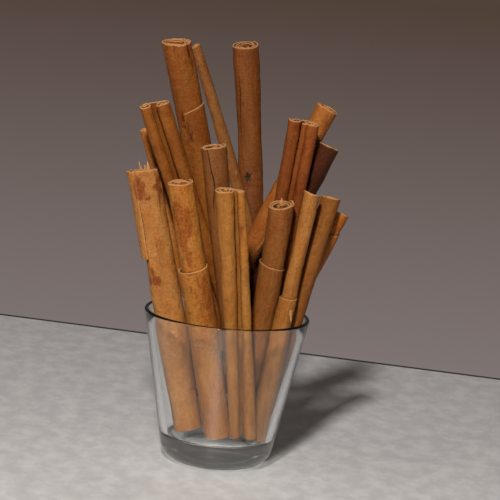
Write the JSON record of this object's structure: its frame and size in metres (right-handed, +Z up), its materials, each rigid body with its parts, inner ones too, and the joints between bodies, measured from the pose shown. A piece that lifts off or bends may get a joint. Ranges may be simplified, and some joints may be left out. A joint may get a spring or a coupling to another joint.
{
  "type": "tumbler of cinnamon sticks",
  "caption": "Clear tapered tumbler with a heavy base, holding a loose upright fan of rolled cinnamon bark quills of mixed height and lean.",
  "frame": {"origin": "centre of the tumbler's foot, on the surface it stands on", "axes": "+Z up the tumbler's axis, -Y to the front, +X to the right"},
  "size_m": [0.1076, 0.1012, 0.2067],
  "materials": {
    "clear_glass": "clear, polished, with a thick base",
    "bark_tan": "dry, matt tan bark",
    "bark_mottled": "dry, matt tan bark with red-brown blotches",
    "bark_straw": "dry, smooth yellow-brown bark",
    "bark_grey": "dry, dull grey-brown bark",
    "bark_amber": "dry, matt amber-brown bark",
    "bark_red": "dry, matt red-brown bark"
  },
  "bodies": {
    "root": {"tumbler": "clear_glass", "quill_left_broad": "bark_tan", "quill_left_wrapped": "bark_mottled", "quill_front_twin": "bark_straw", "quill_right_front": "bark_tan", "quill_right_wrapped": "bark_tan", "quill_grey_cracked": "bark_grey", "quill_right_middle": "bark_tan", "quill_left_twin": "bark_amber", "quill_triple": "bark_red", "quill_tall_left": "bark_amber", "quill_tall_thin": "bark_amber", "quill_diagonal": "bark_amber", "quill_right_short": "bark_amber", "quill_dark_back": "bark_red", "quill_behind_twin": "bark_amber", "quill_tall_middle": "bark_red"}
  },
  "joints": []
}
